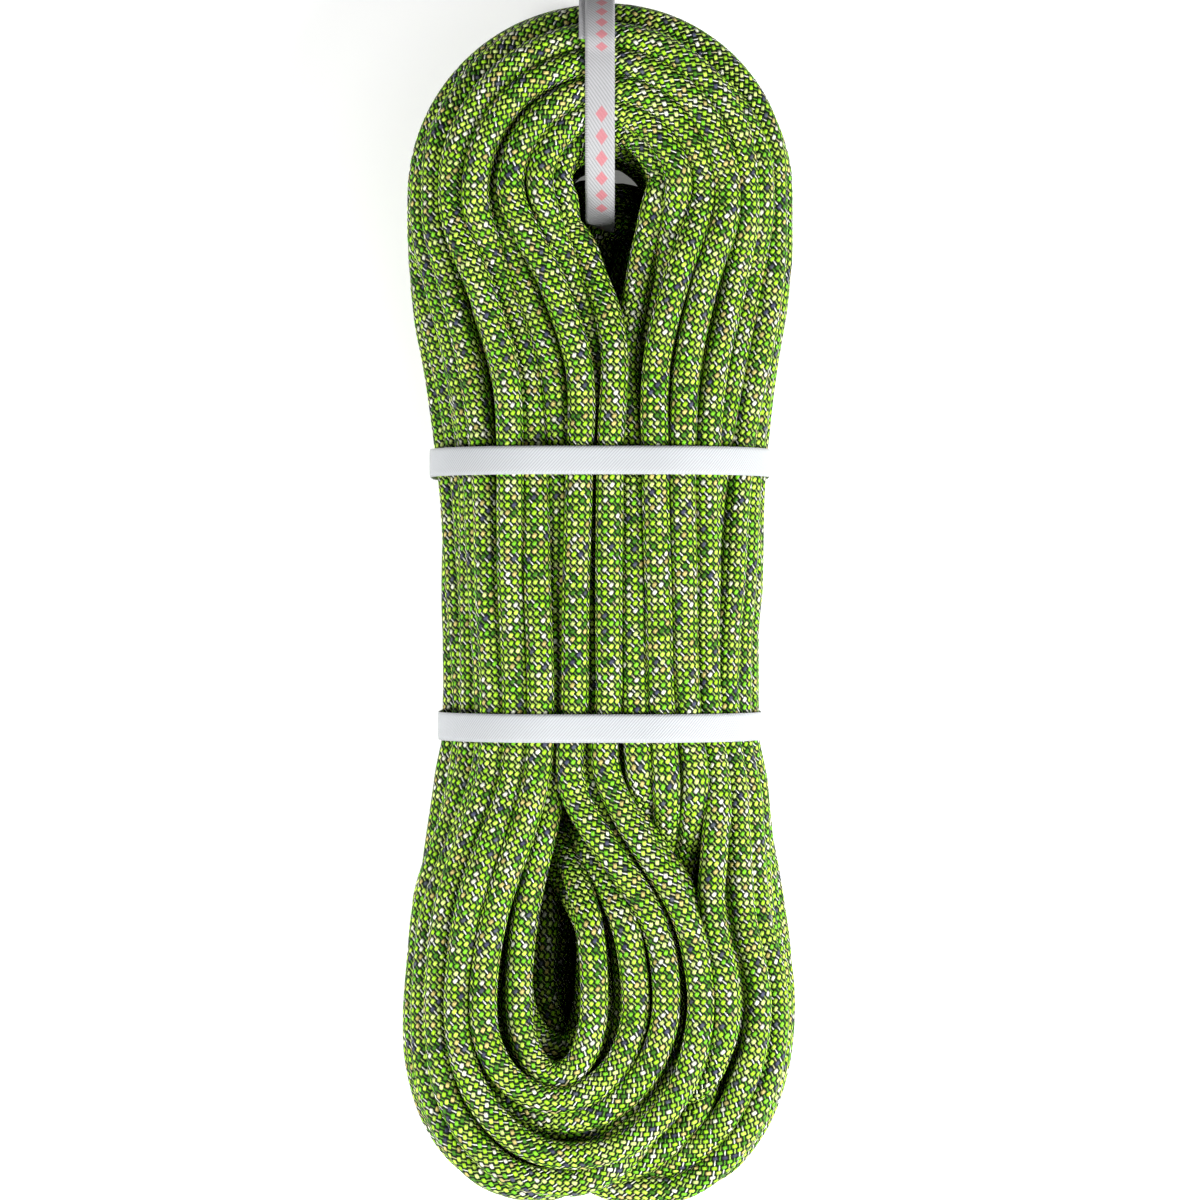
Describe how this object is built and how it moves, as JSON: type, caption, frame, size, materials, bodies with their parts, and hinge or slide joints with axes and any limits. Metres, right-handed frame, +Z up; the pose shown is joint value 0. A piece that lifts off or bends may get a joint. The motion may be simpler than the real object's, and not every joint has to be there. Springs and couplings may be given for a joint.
{
  "type": "dynamic climbing rope",
  "caption": "Braided dynamic climbing rope wound into a long waisted hank, tied by two tape bands, with a hang ribbon through its upper eye.",
  "frame": {"origin": "centre of the hank's footprint, on the surface that it lies on", "axes": "+Y along the hank towards its hang ribbon, +Z up from its back to its front, +X to the right seen from the front"},
  "size_m": [0.142, 0.432, 0.112],
  "materials": {
    "rope_sheath": "braided mixed greens with pale and dark flecks",
    "rope_core": "sealed ivory yarn",
    "end_sleeve": "shrunk matte",
    "band_tape": "fine twill tape",
    "ribbon_tape": "woven ribbon"
  },
  "bodies": {
    "hank": {"rope_hank": "rope_sheath", "start_tail": "rope_sheath", "start_sheath": "rope_sheath", "start_core": "rope_core", "start_sleeve": "end_sleeve", "finish_tail": "rope_sheath", "finish_sheath": "rope_sheath", "finish_core": "rope_core", "finish_sleeve": "end_sleeve"},
    "upper_band": {"upper_band": "band_tape"},
    "lower_band": {"lower_band": "band_tape"},
    "hang_ribbon": {"hang_ribbon": "ribbon_tape"}
  },
  "joints": [
    {"name": "upper_band_slide", "type": "slide", "parent": "hank", "child": "upper_band", "axis": [0, 1, 0], "range_m": [-0.03, 0]},
    {"name": "lower_band_slide", "type": "slide", "parent": "hank", "child": "lower_band", "axis": [0, 1, 0], "range_m": [0, 0.03]},
    {"name": "hang_ribbon_swing", "type": "hinge", "parent": "hank", "child": "hang_ribbon", "pos_m": [0, 0.1452, 0.056], "axis": [0, 0, 1], "range_deg": [-8, 8]}
  ]
}
